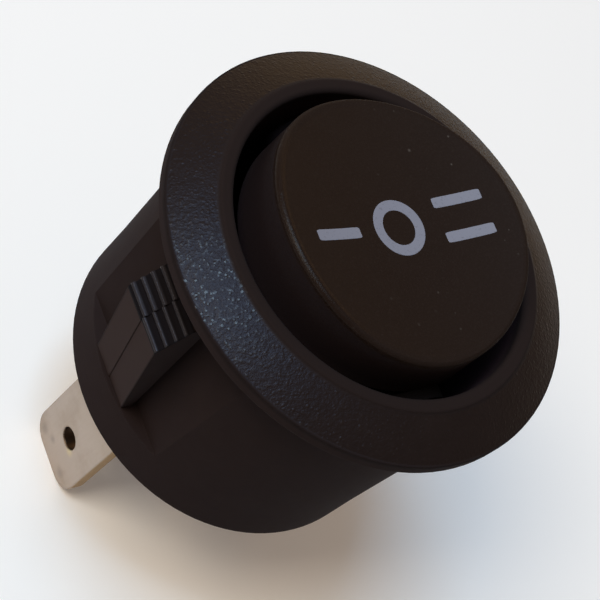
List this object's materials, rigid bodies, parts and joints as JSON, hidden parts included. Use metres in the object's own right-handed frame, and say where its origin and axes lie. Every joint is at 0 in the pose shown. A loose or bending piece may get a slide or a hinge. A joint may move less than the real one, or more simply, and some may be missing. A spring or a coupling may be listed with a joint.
{
  "type": "rocker changeover switch",
  "caption": "Round snap-in rocker changeover switch with a bezel, a dished rocker that rests in the middle or to either side, sprung latches and blade terminals.",
  "frame": {"origin": "centre of the bezel's underside, where it seats on the front of the panel", "axes": "+Z out of the switch's face, +X from the single mark to the double mark, +Y along the rocker's pivot"},
  "size_m": [0.023, 0.023, 0.0287],
  "materials": {
    "housing_plastic": "black moulded polyamide with a coarse spark-eroded grain on the bezel",
    "rocker_plastic": "black moulded polyamide with a fine matt grain",
    "plated_strip": "stamped strip with satin tin plate",
    "contact_silver": "silver contact face",
    "bar_copper": "bare copper alloy strip",
    "plunger_plastic": "natural acetal",
    "spring_steel": "drawn spring wire",
    "mark_print": "pale printed ink of the position marks on the rocker's face"
  },
  "bodies": {
    "housing": {"housing": "housing_plastic", "terminal_1": "plated_strip", "terminal_2": "plated_strip", "common_terminal": "plated_strip", "fixed_contact_1": "contact_silver", "fixed_contact_2": "contact_silver"},
    "rocker": {"rocker": "rocker_plastic", "plunger_spring": "spring_steel"},
    "plunger": {"plunger": "plunger_plastic"},
    "contact_bar": {"contact_bar": "bar_copper", "moving_contact_1": "contact_silver", "moving_contact_2": "contact_silver"}
  },
  "joints": [
    {"name": "rocker_tilt", "type": "hinge", "parent": "housing", "child": "rocker", "pos_m": [0, 0, -0.0015], "axis": [0, 1, 0], "range_deg": [-11, 11]},
    {"name": "plunger_slide", "type": "slide", "parent": "rocker", "child": "plunger", "axis": [0, 0, 1], "range_m": [0, 0.0008], "stiffness_N_per_m": 500, "springref_m": -0.002, "deforming": ["plunger_spring"]},
    {"name": "bar_rock", "type": "hinge", "parent": "housing", "child": "contact_bar", "pos_m": [0, 0, -0.01026], "axis": [0, 1, 0], "range_deg": [-11, 11]}
  ],
  "couplings": [
    {"joint": "bar_rock", "follows": "rocker_tilt", "ratio": -1}
  ]
}
